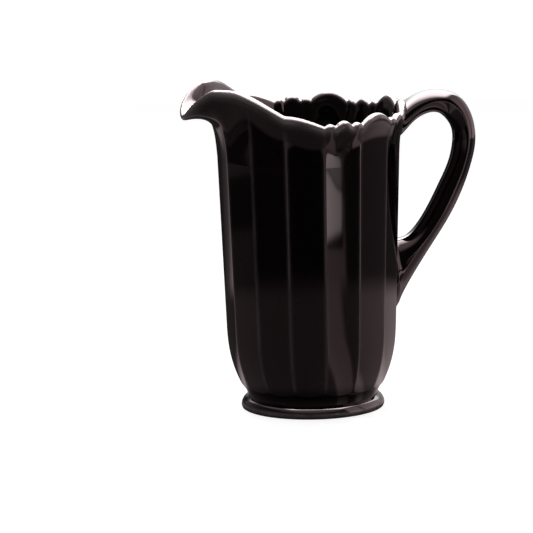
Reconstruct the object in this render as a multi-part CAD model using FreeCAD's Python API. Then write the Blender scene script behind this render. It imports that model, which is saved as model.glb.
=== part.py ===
"""Panelled pouring jug in glazed ceramic: a fifteen-panel body on a turned foot, a scalloped collar,
a beaked spout set into the collar's front, and a ridged loop handle opposite the spout.

Frame: millimetres, +Z up, origin at the centre of the foot's resting face.
The spout points along -X and the handle along +X, so the XZ plane is the plane of symmetry.
Every outline is worked out from the named sizes below."""

import FreeCAD
import Part
import math
import os

# Panels round the body
PANEL_COUNT = 15
PANEL_BOW_RATIO = 4.0         # radius of a panel's gentle outward bow, in ridge radii
RIDGE_ROUNDING = 5.0          # radius that softens the ridge between two panels

# Foot
FOOT_SEAT_RADIUS = 49.0       # outer edge of the ring that the jug stands on
FOOT_BEAD_SWELL = 1.0         # how far the bead stands out past the seat ring
FOOT_HEIGHT = 8.8
FOOT_TOP_EDGE = 1.5           # height over which the bead turns in to the neck
FOOT_RING_WIDTH = 9.0         # width of the flat ring underneath
FOOT_RECESS_DEPTH = 1.8       # hollow under the foot
NECK_RADIUS = 45.2            # where the foot meets the body

# Body
HEEL_RADIUS = 49.6            # ridge radius where the panels start
HEEL_HEIGHT = 17.2
COVE_SAG = 0.9                # hollow of the round underside between the neck and the panels' lower ends
WAIST_RADIUS = 59.4           # ridge radius where the lower swell runs out
WAIST_HEIGHT = 60.0
TUCK_SHARPNESS = 2.5          # power with which the body draws in below the waist
SHOULDER_RADIUS = 63.5        # ridge radius at the collar's seam
SHOULDER_HEIGHT = 178.0
BODY_SECTIONS = 24            # even steps from the heel to the shoulder in which the panels are lofted
SECTIONS_BELOW = 2            # more such steps below the heel, which the round underside trims
BELOW_SLOPE_SHARE = 0.7       # draw-in of the panels there, in the underside's own
WALL = 5.2
FLOOR_THICKNESS = 7.0
INNER_HEEL_RADIUS = 12.0      # rounding inside, between the floor and the wall

# Collar
COLLAR_HEIGHT = 28.8          # from its seam with the body to the rim's notches
RIM_RADIUS = 65.0             # to the middle of the rounded lip
LIP_RADIUS = 3.3              # half the thickness of the rounded lip
RIM_LEAN_ANGLE = 76.0         # degrees above level at which the collar reaches the lip
LARGE_LOBE = 6.4              # heights of the rim's lobes above the notches
MIDDLE_LOBE = 3.6
SMALL_LOBE = 1.8
PLAIN_LOBE = 3.4              # the one low wave on each side, next to the spout
NOTCH_GROOVE = 0.8            # how much thinner the lip is in a notch
HANDLE_SIDE_LIFT = 2.0        # rise of the rim beside the handle
HANDLE_SIDE_ANGLE = 20.0      # degrees over which that rise fades
TRIO_SAG = 1.3                # how much lower the three lobes next to the handle's side sit

# Spout
SPOUT_REACH = 23.5            # lip's reach at the tip past the round rim
SPOUT_HALF_ANGLE = 13.8       # degrees from the middle where the reach has halved
SPOUT_SHARPNESS = 3.1         # power of the reach's fall to each side
TIP_LIFT = 4.2                # height of the tip's edge above the notches
EAR_LIFT = 23.3               # height of the spout's two ears above the notches
EAR_INNER_ANGLE = 16.6        # degrees from the middle where the ears reach full height
EAR_PEAK_ANGLE = 23.4
EAR_OUTER_ANGLE = 83.5        # degrees from the middle where the ears have run out
TIP_LEAN_ANGLE = -8.8         # degrees above level at which the spout reaches its tip
TIP_HALF_ANGLE = 17.2         # degrees from the middle where the spout's sides stand upright
TIP_LIP_RADIUS = 1.9          # half the thickness of the lip at the spout's tip
RIM_FOOT_SHARE = 0.65         # how far the wall runs on upright before it leans out, in its rise
TIP_FOOT_SHARE = 0.98
RIM_LIP_SHARE = 0.40          # how far back from the lip its lean is felt, in its reach
TIP_LIP_SHARE = 0.44
SPOUT_SEAM_PANELS = 1.5       # panels on each side of the middle that belong to the spout

# Handle: where its outer face and its inner face pass, as distances from the jug's axis and heights
GRIP_HALF_FLAT = 7.0          # half the width of the outer face
GRIP_HALF_WIDTH = 10.5        # half the width across the side ridges
GRIP_INNER_HALF_FLAT = 4.0    # half the width of the inner face
GRIP_CROWN_RISE = 2.0         # how far the outer face is crowned over its edges
GRIP_EDGE_DROP = 0.7          # how far those edges lie inside the handle's outer line
GRIP_INNER_SWELL = 2.0        # how far the inner face lies past the handle's inner line
GRIP_CROWN_ROUNDING = 18.0
GRIP_EDGE_ROUNDING = 1.2
GRIP_SIDE_ROUNDING = 2.0
GRIP_INNER_ROUNDING = 5.0
GRIP_ROOT_FLARE = 1.0         # extra half width where the handle meets the wall
HANDLE_REACH = 120.2          # from the axis to the outermost point
HANDLE_CREST_RISE = 10.9      # height of the crest above the rim's notches
HANDLE_FOOT_HEIGHT = 64.0     # height of the lowest point of the lower root
ROOT_BITE = 2.4               # depth of both roots in the wall before they are trimmed to it

OVERRUN = 3.0                 # how far cutting shapes run past what they cut
SKIN_DEGREE = 3

HALF_PANEL = math.pi / PANEL_COUNT
FULL_TURN = 2 * math.pi
ORIGIN = FreeCAD.Vector(0, 0, 0)
UP = FreeCAD.Vector(0, 0, 1)
CAVITY_FLOOR = FOOT_HEIGHT + FLOOR_THICKNESS
RIM_HEIGHT = SHOULDER_HEIGHT + COLLAR_HEIGHT
HANDLE_CREST_HEIGHT = RIM_HEIGHT + HANDLE_CREST_RISE


def at(radius, angle, height):
    """Point at that distance from the axis, turn from the handle and height."""
    return FreeCAD.Vector(radius * math.cos(angle), radius * math.sin(angle), height)


def smooth(share):
    """0 to 1 with a soft start and end."""
    share = min(1.0, max(0.0, share))
    return share * share * (3 - 2 * share)


# Body outline

def ridge_radius(height):
    """Radius of the ridges at that height: a slow widening, less the tuck under the waist."""
    if height < HEEL_HEIGHT:
        below_slope = BELOW_SLOPE_SHARE * (HEEL_RADIUS - NECK_RADIUS) / (HEEL_HEIGHT - FOOT_HEIGHT)
        return HEEL_RADIUS - below_slope * (HEEL_HEIGHT - height)
    slope = (SHOULDER_RADIUS - WAIST_RADIUS) / (SHOULDER_HEIGHT - WAIST_HEIGHT)
    widening = WAIST_RADIUS + slope * (height - WAIST_HEIGHT)
    left = max(0, WAIST_HEIGHT - height) / (WAIST_HEIGHT - HEEL_HEIGHT)
    tuck = WAIST_RADIUS - slope * (WAIST_HEIGHT - HEEL_HEIGHT) - HEEL_RADIUS
    return widening - tuck * left ** TUCK_SHARPNESS


def panel_circles(radius):
    """Radius and set-back of a panel's bow, and the place of the rounding's centre on the ridge's line."""
    bow = PANEL_BOW_RATIO * radius
    set_back = math.sqrt(bow ** 2 - (radius * math.sin(HALF_PANEL)) ** 2) - radius * math.cos(HALF_PANEL)
    ridge_centre = math.sqrt((bow - RIDGE_ROUNDING) ** 2 - (set_back * math.sin(HALF_PANEL)) ** 2)
    ridge_centre -= set_back * math.cos(HALF_PANEL)
    return bow, set_back, ridge_centre


def panel_radius(radius, turn):
    """Distance of the panelled outline from the axis at a turn from the middle of its panel."""
    bow, set_back, ridge_centre = panel_circles(radius)
    turn = abs(turn)
    touch_out = ridge_centre * math.cos(HALF_PANEL) + set_back
    touch_side = ridge_centre * math.sin(HALF_PANEL)
    gain = bow / (bow - RIDGE_ROUNDING)
    touch_turn = math.atan2(touch_side * gain, touch_out * gain - set_back)
    if turn <= touch_turn:
        return math.sqrt(bow ** 2 - (set_back * math.sin(turn)) ** 2) - set_back * math.cos(turn)
    from_ridge = HALF_PANEL - turn
    inside = RIDGE_ROUNDING ** 2 - (ridge_centre * math.sin(from_ridge)) ** 2
    return ridge_centre * math.cos(from_ridge) + math.sqrt(max(inside, 0))


def panelled_wire(radius, height):
    """Closed outline of the panelled body: one bowed arc for each panel and one small arc for each ridge."""
    bow, set_back, ridge_centre = panel_circles(radius)
    touch_out = ridge_centre * math.cos(HALF_PANEL) + set_back
    touch_side = ridge_centre * math.sin(HALF_PANEL)
    gain = bow / (bow - RIDGE_ROUNDING)
    touch_radius = math.hypot(touch_out * gain - set_back, touch_side * gain)
    touch_turn = math.atan2(touch_side * gain, touch_out * gain - set_back)
    middle_radius = bow - set_back
    edges = []
    for panel in range(PANEL_COUNT):
        middle = HALF_PANEL * (2 * panel + 1)
        start = at(touch_radius, middle - touch_turn, height)
        end = at(touch_radius, middle + touch_turn, height)
        edges.append(Part.Arc(start, at(middle_radius, middle, height), end).toShape())
        ridge = middle + HALF_PANEL
        next_start = at(touch_radius, ridge + HALF_PANEL - touch_turn, height)
        edges.append(Part.Arc(end, at(ridge_centre + RIDGE_ROUNDING, ridge, height), next_start).toShape())
    return Part.Wire(edges)


def body_block():
    """The panelled body before it is hollowed, its round underside cut to the panels' lower edges."""
    step = (SHOULDER_HEIGHT - HEEL_HEIGHT) / BODY_SECTIONS
    sections = [HEEL_HEIGHT + count * step for count in range(-SECTIONS_BELOW, BODY_SECTIONS + 1)]
    block = Part.makeLoft([panelled_wire(ridge_radius(z), z) for z in sections], True, False)
    wide = max(SHOULDER_RADIUS, HEEL_RADIUS) + OVERRUN
    foot_middle = FreeCAD.Vector(0, 0, FOOT_HEIGHT)
    neck = FreeCAD.Vector(NECK_RADIUS, 0, FOOT_HEIGHT)
    heel = FreeCAD.Vector(HEEL_RADIUS, 0, HEEL_HEIGHT)
    chord = heel - neck
    cove = (neck + heel) * 0.5 + FreeCAD.Vector(-chord.z, 0, chord.x).normalize() * COVE_SAG
    corners = [
        heel, FreeCAD.Vector(wide, 0, HEEL_HEIGHT), FreeCAD.Vector(wide, 0, SHOULDER_HEIGHT),
        FreeCAD.Vector(0, 0, SHOULDER_HEIGHT), foot_middle, neck]
    edges = [Part.Arc(neck, cove, heel).toShape()]
    for corner, following in zip(corners, corners[1:]):
        edges.append(Part.LineSegment(corner, following).toShape())
    underside = Part.Face(Part.Wire(edges)).revolve(ORIGIN, UP, 360)
    return block.common(underside)


def inner_radius(height):
    """Radius of the round inside: a wall's thickness in from the middle of the panels."""
    return ridge_radius(height) * math.cos(HALF_PANEL) - WALL


def cavity_block():
    """Round inside of the body, with a rounded corner at the floor."""
    corner_top = CAVITY_FLOOR + INNER_HEEL_RADIUS
    corner_radius = inner_radius(corner_top)
    turn = math.pi / 4
    corner_middle = FreeCAD.Vector(
        corner_radius - INNER_HEEL_RADIUS * (1 - math.cos(turn)), 0,
        corner_top - INNER_HEEL_RADIUS * math.sin(turn))
    floor_edge = FreeCAD.Vector(corner_radius - INNER_HEEL_RADIUS, 0, CAVITY_FLOOR)
    wall_foot = FreeCAD.Vector(corner_radius, 0, corner_top)
    rise_shares = (0.0, 0.12, 0.28, 0.52, 0.78, 1.0)
    run = [corner_top + share * (SHOULDER_HEIGHT - corner_top) for share in rise_shares]
    wall_line = Part.BSplineCurve()
    wall_line.interpolate([FreeCAD.Vector(inner_radius(z), 0, z) for z in run])
    top = FreeCAD.Vector(inner_radius(SHOULDER_HEIGHT), 0, SHOULDER_HEIGHT)
    above = UP * OVERRUN
    edges = [
        Part.LineSegment(FreeCAD.Vector(0, 0, CAVITY_FLOOR), floor_edge).toShape(),
        Part.Arc(floor_edge, corner_middle, wall_foot).toShape(),
        wall_line.toShape(),
        Part.LineSegment(top, top + above).toShape(),
        Part.LineSegment(top + above, FreeCAD.Vector(0, 0, SHOULDER_HEIGHT) + above).toShape(),
        Part.LineSegment(FreeCAD.Vector(0, 0, SHOULDER_HEIGHT) + above,
                         FreeCAD.Vector(0, 0, CAVITY_FLOOR)).toShape()]
    return Part.Face(Part.Wire(edges)).revolve(ORIGIN, UP, 360)


def foot_disc():
    """Turned foot: a rolled bead over a flat resting ring, hollowed underneath."""
    bead = FOOT_SEAT_RADIUS + FOOT_BEAD_SWELL
    bead_top = FOOT_HEIGHT - FOOT_TOP_EDGE
    ring_inside = FOOT_SEAT_RADIUS - FOOT_RING_WIDTH
    recess_edge = ring_inside - FOOT_RECESS_DEPTH
    shoulder = FreeCAD.Vector(FOOT_SEAT_RADIUS - FOOT_BEAD_SWELL / 2, 0, bead_top)
    seat = FreeCAD.Vector(FOOT_SEAT_RADIUS, 0, 0)
    neck = FreeCAD.Vector(NECK_RADIUS, 0, FOOT_HEIGHT)
    between = FreeCAD.Vector((shoulder.x + neck.x) / 2 + FOOT_TOP_EDGE / 4, 0, FOOT_HEIGHT - FOOT_TOP_EDGE / 5)
    edges = [
        Part.Arc(seat, FreeCAD.Vector(bead, 0, bead_top / 2), shoulder).toShape(),
        Part.Arc(shoulder, between, neck).toShape(),
        Part.LineSegment(neck, FreeCAD.Vector(0, 0, FOOT_HEIGHT)).toShape(),
        Part.LineSegment(FreeCAD.Vector(0, 0, FOOT_HEIGHT), FreeCAD.Vector(0, 0, FOOT_RECESS_DEPTH)).toShape(),
        Part.LineSegment(FreeCAD.Vector(0, 0, FOOT_RECESS_DEPTH),
                         FreeCAD.Vector(recess_edge, 0, FOOT_RECESS_DEPTH)).toShape(),
        Part.LineSegment(FreeCAD.Vector(recess_edge, 0, FOOT_RECESS_DEPTH),
                         FreeCAD.Vector(ring_inside, 0, 0)).toShape(),
        Part.LineSegment(FreeCAD.Vector(ring_inside, 0, 0), seat).toShape()]
    return Part.Face(Part.Wire(edges)).revolve(ORIGIN, UP, 360)


# Collar and spout: one skin over the whole rim, worked out from its radial profile

def lobe_wave(turn):
    """Height of the lobes above the notches, and 0 in a notch to 1 on a crest, at a turn from the handle."""
    panels_out = abs(turn) / (2 * HALF_PANEL)
    panel = int(panels_out)
    place = (panels_out - panel) * 2 - 1
    notch_share = 4 / 9
    large_panels, trio_panels, plain_panel = (0, 2), (1, 3), 4
    if panel in large_panels:
        crest = 1 - place ** 2
        return LARGE_LOBE * crest, crest
    if panel in trio_panels:
        sag = TRIO_SAG * (1 - place ** 2) if panel == trio_panels[0] else 0
        if abs(place) <= notch_share:
            crest = 1 - (place / notch_share) ** 2
            return MIDDLE_LOBE * crest - sag, crest
        side = (abs(place) - notch_share) / (1 - notch_share) * 2 - 1
        crest = 1 - side ** 2
        return SMALL_LOBE * crest - sag, crest
    if panel == plain_panel:
        crest = 1 - place ** 2
        return PLAIN_LOBE * crest, 1 if place > 0 else crest
    return 0, 1


def spout_lift(from_spout):
    """Height of the spout's edge above the notches, at degrees from its middle."""
    if from_spout < EAR_PEAK_ANGLE:
        return TIP_LIFT + (EAR_LIFT - TIP_LIFT) * smooth(from_spout / EAR_INNER_ANGLE)
    gone = min(1.0, (from_spout - EAR_PEAK_ANGLE) / (EAR_OUTER_ANGLE - EAR_PEAK_ANGLE))
    return EAR_LIFT * math.cos(gone * math.pi / 2) ** 2


def lip_place(turn):
    """Middle of the rounded edge at a turn from the handle: distance from the axis, height, lean, radius,
    and 0 at the spout's tip to 1 on upright walls."""
    from_spout = 180 - abs(math.degrees(turn))
    reach = 1 / (1 + (from_spout / SPOUT_HALF_ANGLE) ** SPOUT_SHARPNESS)
    wave, crest = lobe_wave(turn)
    upright = smooth(from_spout / TIP_HALF_ANGLE)
    lip = TIP_LIP_RADIUS + (LIP_RADIUS - TIP_LIP_RADIUS) * upright - NOTCH_GROOVE * (1 - crest)
    lift = spout_lift(from_spout) + wave
    lift += HANDLE_SIDE_LIFT * math.exp(-(math.degrees(turn) / HANDLE_SIDE_ANGLE) ** 2)
    lean = TIP_LEAN_ANGLE + (RIM_LEAN_ANGLE - TIP_LEAN_ANGLE) * upright
    return RIM_RADIUS + SPOUT_REACH * reach, RIM_HEIGHT + lift - lip, math.radians(lean), lip, upright


def collar_profile(turn):
    """Poles of the radial profile at a turn from the handle: up the outside, over the lip, down the inside."""
    out, high, lean, lip, upright = lip_place(turn)
    from_ridge = turn % (2 * HALF_PANEL) - HALF_PANEL
    half_wall = WALL / 2
    foot_out = SHOULDER_RADIUS - half_wall
    rise = high - SHOULDER_HEIGHT
    reach = math.hypot(out - foot_out, rise)
    foot_handle = rise * (TIP_FOOT_SHARE + (RIM_FOOT_SHARE - TIP_FOOT_SHARE) * upright)
    lip_handle = reach * (TIP_LIP_SHARE + (RIM_LIP_SHARE - TIP_LIP_SHARE) * upright)
    slope = (SHOULDER_RADIUS - WAIST_RADIUS) / (SHOULDER_HEIGHT - WAIST_HEIGHT)
    start = (foot_out, SHOULDER_HEIGHT)
    first = (foot_out + slope * foot_handle, SHOULDER_HEIGHT + foot_handle)
    second = (out - lip_handle * math.cos(lean), high - lip_handle * math.sin(lean))
    end = (out, high)

    def middle(share):
        """Point and outward normal of the wall's middle line."""
        left = 1 - share
        place = [left ** 3 * a + 3 * left ** 2 * share * b + 3 * left * share ** 2 * c + share ** 3 * d
                 for a, b, c, d in zip(start, first, second, end)]
        along = [left ** 2 * (b - a) + 2 * left * share * (c - b) + share ** 2 * (d - c)
                 for a, b, c, d in zip(start, first, second, end)]
        size = math.hypot(*along)
        return place, (along[1] / size, -along[0] / size)

    climb_shares = (0.0, 0.14, 0.3, 0.46, 0.62, 0.77, 0.9)
    outside, inside = [], []
    for share in climb_shares:
        (radius, height), (normal_out, normal_up) = middle(share)
        half = half_wall + (lip - half_wall) * smooth(share) ** 3
        face = radius + half * normal_out
        faceted = panel_radius(face, from_ridge)
        strength = 1 - smooth(share / 0.8)
        tilt = half * normal_up * smooth(share / 0.3)
        outside.append((face + strength * (faceted - face), height + tilt))
        inner = radius - half * normal_out
        inner_foot = inner_radius(SHOULDER_HEIGHT)
        inner += (inner_foot - (foot_out - half_wall)) * (1 - smooth(share / 0.6))
        inside.append((inner, height - tilt))
    cap_gain = 1 / (4 + 2 * math.cos(math.pi / 4)) * 6
    cap = []
    for step in range(5):
        swing = lean - math.pi / 2 + step * math.pi / 4
        cap.append((out + cap_gain * lip * math.cos(swing), high + cap_gain * lip * math.sin(swing)))
    return outside + cap + inside[::-1]


def rim_turns():
    """Turns from the handle of the skin's columns of poles: the same places on every panel."""
    place_shares = (0.0, 0.06, 0.14, 0.21, 5 / 18, 0.35, 0.42, 0.5, 0.58, 0.65, 13 / 18, 0.79, 0.86, 0.94)
    return [(panel + share) * 2 * HALF_PANEL for panel in range(PANEL_COUNT) for share in place_shares]


def signed_turn(turn):
    """The same turn, from half a turn back to half a turn on."""
    return (turn + math.pi) % FULL_TURN - math.pi


def rim_ring():
    """The whole ring above the seam: a skin from the outer seam over the lip to the inner seam, and its flat foot."""
    columns = []
    for turn in rim_turns():
        columns.append([at(radius, turn, height) for radius, height in collar_profile(signed_turn(turn))])
    rows = len(columns[0])
    around = len(columns)
    spans = rows - SKIN_DEGREE
    skin = Part.BSplineSurface()
    skin.buildFromPolesMultsKnots(
        columns,
        [1] * (around + 1), [SKIN_DEGREE + 1] + [1] * (spans - 1) + [SKIN_DEGREE + 1],
        [float(k) for k in range(around + 1)], [float(k) for k in range(spans + 1)],
        True, False, SKIN_DEGREE, SKIN_DEGREE)
    face = skin.toShape()
    seams = [edge for edge in face.Edges if edge.isClosed()]
    seams.sort(key=lambda edge: edge.Length)
    floor = Part.Face([Part.Wire(seams[-1]), Part.Wire(seams[0])])
    shell = Part.Shell([face, floor])
    shell.sewShape()
    ring = Part.Solid(shell)
    if ring.Volume < 0:
        ring.reverse()
    return ring


def spout_wedge():
    """Upright wedge that holds the spout's share of the ring."""
    reach = RIM_RADIUS + SPOUT_REACH + LIP_RADIUS + OVERRUN
    half = SPOUT_SEAM_PANELS * 2 * HALF_PANEL
    far = reach / math.cos(half)
    low = SHOULDER_HEIGHT - OVERRUN
    outline = Part.makePolygon([
        FreeCAD.Vector(0, 0, low),
        at(far, math.pi - half, low),
        at(far, math.pi + half, low),
        FreeCAD.Vector(0, 0, low)])
    height = RIM_HEIGHT + EAR_LIFT + 2 * OVERRUN - low
    return Part.Face(outline).extrude(UP * height)


# Handle

def grip_stations():
    """Where the handle's outer and inner lines pass, root to root: outer distance and height, inner distance
    and height, and the extra half width."""
    upper_root = SHOULDER_RADIUS - ROOT_BITE
    lower_root = WAIST_RADIUS - ROOT_BITE
    crest = HANDLE_CREST_HEIGHT
    drop = crest - HANDLE_FOOT_HEIGHT
    span = HANDLE_REACH
    # for the outer and then the inner line: its distance, as a share of the reach and one of the lower
    # root's radius, and its drop, as a share of the whole drop
    place_shares = (
        (0.611, 0, 0.036, 0.575, 0, 0.169),
        (0.693, 0, 0.007, 0.641, 0, 0.121),
        (0.776, 0, 0.000, 0.740, 0, 0.087),
        (0.856, 0, 0.011, 0.807, 0, 0.098),
        (0.935, 0, 0.056, 0.861, 0, 0.140),
        (0.984, 0, 0.132, 0.887, 0, 0.182),
        (1.000, 0, 0.214, 0.893, 0, 0.228),
        (0.979, 0, 0.321, 0.872, 0, 0.318),
        (0.910, 0, 0.467, 0.803, 0, 0.437),
        (0.806, 0, 0.613, 0.702, 0, 0.577),
        (0.577, 0.280, 0.721, 0.430, 0.375, 0.661),
        (0.250, 0.750, 0.841, 0.121, 0.875, 0.682))
    stations = [(upper_root, crest - 0.109 * drop, upper_root, crest - 0.201 * drop, GRIP_ROOT_FLARE)]
    for outer, outer_root, outer_drop, inner, inner_root, inner_drop in place_shares:
        stations.append((
            outer * span + outer_root * lower_root, crest - outer_drop * drop,
            inner * span + inner_root * lower_root, crest - inner_drop * drop, 0))
    stations.append((lower_root, HANDLE_FOOT_HEIGHT, lower_root, crest - 0.690 * drop, GRIP_ROOT_FLARE))
    return stations


def grip_corners(outer, inner, flare):
    """Corners of the handle's section and the rounding of each: a crowned outer face, slanting sides that
    meet in a ridge, and a narrow inner face."""
    middle = (outer + inner) * 0.5
    thick = (outer - inner).normalize()
    across = FreeCAD.Vector(0, 1, 0)
    crown = outer + thick * (GRIP_CROWN_RISE - GRIP_EDGE_DROP)
    edge = outer - thick * GRIP_EDGE_DROP
    inside = inner - thick * GRIP_INNER_SWELL
    sides = (
        (edge, GRIP_HALF_FLAT + flare, GRIP_EDGE_ROUNDING),
        (middle, GRIP_HALF_WIDTH + flare, GRIP_SIDE_ROUNDING),
        (inside, GRIP_INNER_HALF_FLAT + flare, GRIP_INNER_ROUNDING))
    near = [(place + across * half, rounding) for place, half, rounding in sides]
    far = [(place - across * half, rounding) for place, half, rounding in sides]
    return [(crown, GRIP_CROWN_ROUNDING)] + near + far[::-1]


def rounded_outline(corners):
    """Closed wire through the corners, each rounded by its own radius."""
    count = len(corners)
    edges, ends = [], []
    for index, (corner, rounding) in enumerate(corners):
        before = (corners[index - 1][0] - corner).normalize()
        after = (corners[(index + 1) % count][0] - corner).normalize()
        half_angle = before.getAngle(after) / 2
        back = rounding / math.tan(half_angle)
        inward = (before + after).normalize()
        nose = corner + inward * (rounding / math.sin(half_angle) - rounding)
        ends.append((corner + before * back, nose, corner + after * back))
    for index, (start, nose, end) in enumerate(ends):
        edges.append(Part.Arc(start, nose, end).toShape())
        edges.append(Part.LineSegment(end, ends[(index + 1) % count][0]).toShape())
    return Part.Wire(edges)


def handle_loop():
    """The handle before its roots are trimmed: its section lofted through its stations."""
    wires = []
    for outer_out, outer_high, inner_out, inner_high, flare in grip_stations():
        outer = FreeCAD.Vector(outer_out, 0, outer_high)
        inner = FreeCAD.Vector(inner_out, 0, inner_high)
        wires.append(rounded_outline(grip_corners(outer, inner, flare)))
    return Part.makeLoft(wires, True, False)


def single_solid(shape):
    """The largest solid of a boolean's result."""
    return max(shape.Solids, key=lambda solid: solid.Volume)


def build():
    block = body_block()
    body = single_solid(block.cut(cavity_block()))
    ring = rim_ring()
    wedge = spout_wedge()
    handle = handle_loop().cut(block).cut(ring)
    return {
        "foot": foot_disc(),
        "body": body,
        "collar": single_solid(ring.cut(wedge)),
        "spout": single_solid(ring.common(wedge)),
        "handle": single_solid(handle)}


os.makedirs("parts", exist_ok=True)
for name, shape in build().items():
    shape.exportStep(f"parts/{name}.step")
    print(name, shape.ShapeType, shape.isValid(), round(shape.Volume), len(shape.Faces))
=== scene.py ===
import bpy
import bmesh
import math
from functools import partialmethod
import numpy as np
from mathutils import Matrix, Vector


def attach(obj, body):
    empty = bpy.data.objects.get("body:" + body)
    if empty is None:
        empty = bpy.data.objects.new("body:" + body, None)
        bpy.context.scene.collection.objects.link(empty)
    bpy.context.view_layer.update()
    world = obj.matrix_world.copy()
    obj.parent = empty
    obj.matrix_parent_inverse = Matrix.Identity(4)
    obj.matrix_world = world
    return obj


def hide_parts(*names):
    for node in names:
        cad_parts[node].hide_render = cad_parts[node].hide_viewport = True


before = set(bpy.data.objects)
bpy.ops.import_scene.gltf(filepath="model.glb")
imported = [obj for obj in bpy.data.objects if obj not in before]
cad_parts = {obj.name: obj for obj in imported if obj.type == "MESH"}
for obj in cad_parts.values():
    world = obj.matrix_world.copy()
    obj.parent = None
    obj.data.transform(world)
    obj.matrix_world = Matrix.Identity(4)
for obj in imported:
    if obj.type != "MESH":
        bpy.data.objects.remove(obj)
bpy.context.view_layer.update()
print("frame loaded:", ", ".join(sorted(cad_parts)))

scene = bpy.context.scene
halfTurn = math.pi


# Small helpers for meshes

def smooth(share):
    share = np.clip(share, 0, 1)
    return share * share * (3 - 2 * share)


def gridFaces(across, up, closed):
    # quads of a grid of points, row after row, its columns joined up where it is closed
    faces = []
    for row in range(up - 1):
        for column in range(across if closed else across - 1):
            following = (column + 1) % across
            low, high = row * across, (row + 1) * across
            faces.append((low + column, low + following, high + following, high + column))
    return faces


def newPiece(name, points, faces):
    mesh = bpy.data.meshes.new(name)
    mesh.from_pydata(np.reshape(points, (-1, 3)).tolist(), [], faces)
    piece = bpy.data.objects.new(name, mesh)
    scene.collection.objects.link(piece)
    return piece


def makePiece(name, points, faces, normals=None, thin=None, material=None):
    piece = newPiece(name, points, faces)
    mesh = piece.data
    shell = bmesh.new()
    shell.from_mesh(mesh)
    insideOut = shell.calc_volume(signed=True) < 0
    shell.free()
    if insideOut:
        mesh.flip_normals()
    mesh.shade_smooth()
    if normals is not None:
        mesh.normals_split_custom_set_from_vertices(np.asarray(normals, float).tolist())
    if thin is not None:
        addMask(mesh, thin)
    if material is not None:
        mesh.materials.append(material)
    print(name, "made:", len(mesh.polygons), "faces, turned" if insideOut else "faces")
    return piece


def addMask(mesh, values):
    # where the glaze is pale on ridges, rims and edges: partly run thin, partly painted highlight
    mask = mesh.attributes.new("glazeThinAndHighlight", "FLOAT", "POINT")
    mask.data.foreach_set("value", np.asarray(values, np.float32))


def unit(vectors):
    return vectors / np.maximum(np.linalg.norm(vectors, axis=-1, keepdims=True), 1e-12)


def lengthsAlong(points):
    return np.concatenate([[0], np.cumsum(np.linalg.norm(np.diff(points, axis=0), axis=1))])


def splineThrough(places, values, wanted):
    # natural cubic spline through rows of values
    places, values = np.asarray(places, float), np.asarray(values, float)
    gaps = np.diff(places)
    count = len(places)
    system = np.eye(count)
    right = np.zeros_like(values)
    for i in range(1, count - 1):
        system[i, i - 1:i + 2] = gaps[i - 1], 2 * (gaps[i - 1] + gaps[i]), gaps[i]
        right[i] = 6 * ((values[i + 1] - values[i]) / gaps[i] - (values[i] - values[i - 1]) / gaps[i - 1])
    bend = np.linalg.solve(system, right)
    span = np.clip(np.searchsorted(places, wanted) - 1, 0, count - 2)
    gap = gaps[span][:, None]
    after = ((wanted - places[span]) / gaps[span])[:, None]
    before = 1 - after
    curve = before * values[span] + after * values[span + 1]
    curve += gap ** 2 / 6 * ((before ** 3 - before) * bend[span] + (after ** 3 - after) * bend[span + 1])
    return curve


# Shader groups and the glaze

def fillIn(tree, node, inputs):
    # each input is a value, or a socket or reading to join to it
    for label, part in dict(inputs).items():
        socket = node.inputs[label]
        if isinstance(part, Reading):
            part = part.socket
        if isinstance(part, bpy.types.NodeSocket):
            tree.links.new(part, socket)
        else:
            socket.default_value = (*part, 1) if socket.type == "RGBA" else part
    return node


def addNode(tree, kind, inputs=()):
    return fillIn(tree, tree.nodes.new(kind), inputs)


def nodeMath(tree, operation, *parts, clamp=False):
    node = tree.nodes.new("ShaderNodeMath")
    node.operation, node.use_clamp = operation, clamp
    return Reading(tree, fillIn(tree, node, enumerate(parts)).outputs[0])


def noiseAt(tree, place, scale, detail, roughness=0.5):
    sizes = {"Vector": place, "Scale": scale, "Detail": detail, "Roughness": roughness}
    return Reading(tree, addNode(tree, "ShaderNodeTexNoise", sizes).outputs["Fac"])


def attributeAt(tree, name):
    node = tree.nodes.new("ShaderNodeAttribute")
    node.attribute_name = name
    return node.outputs["Fac"]


def mixColours(tree, share, first, second):
    mix = tree.nodes.new("ShaderNodeMix")
    mix.data_type = "RGBA"
    return fillIn(tree, mix, {"Factor": share, "A": first, "B": second}).outputs["Result"]


class Reading:
    # a number in a node tree, so that one rule serves for plain numbers and for nodes: numpy's
    # sqrt, sin, cos and arctan2 call the methods of the same name
    def __init__(self, tree, socket):
        self.tree, self.socket = tree, socket

    def by(self, operation, *others, clamp=False):
        return nodeMath(self.tree, operation, self, *others, clamp=clamp)

    def __rsub__(self, other):
        return nodeMath(self.tree, "SUBTRACT", other, self)

    def __rtruediv__(self, other):
        return nodeMath(self.tree, "DIVIDE", other, self)

    def __pow__(self, power):
        return self * self if isinstance(power, int) and power == 2 else self.by("POWER", power)

    __add__ = partialmethod(by, "ADD")
    __sub__ = partialmethod(by, "SUBTRACT")
    __mul__ = __rmul__ = partialmethod(by, "MULTIPLY")
    __truediv__ = partialmethod(by, "DIVIDE")
    __gt__ = partialmethod(by, "GREATER_THAN")
    __abs__ = partialmethod(by, "ABSOLUTE")
    sqrt = partialmethod(by, "SQRT")
    sin = partialmethod(by, "SINE")
    cos = partialmethod(by, "COSINE")
    arctan2 = partialmethod(by, "ARCTAN2")


def atLeast(least, value):
    return value.by("MAXIMUM", least) if isinstance(value, Reading) else np.maximum(value, least)


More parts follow.
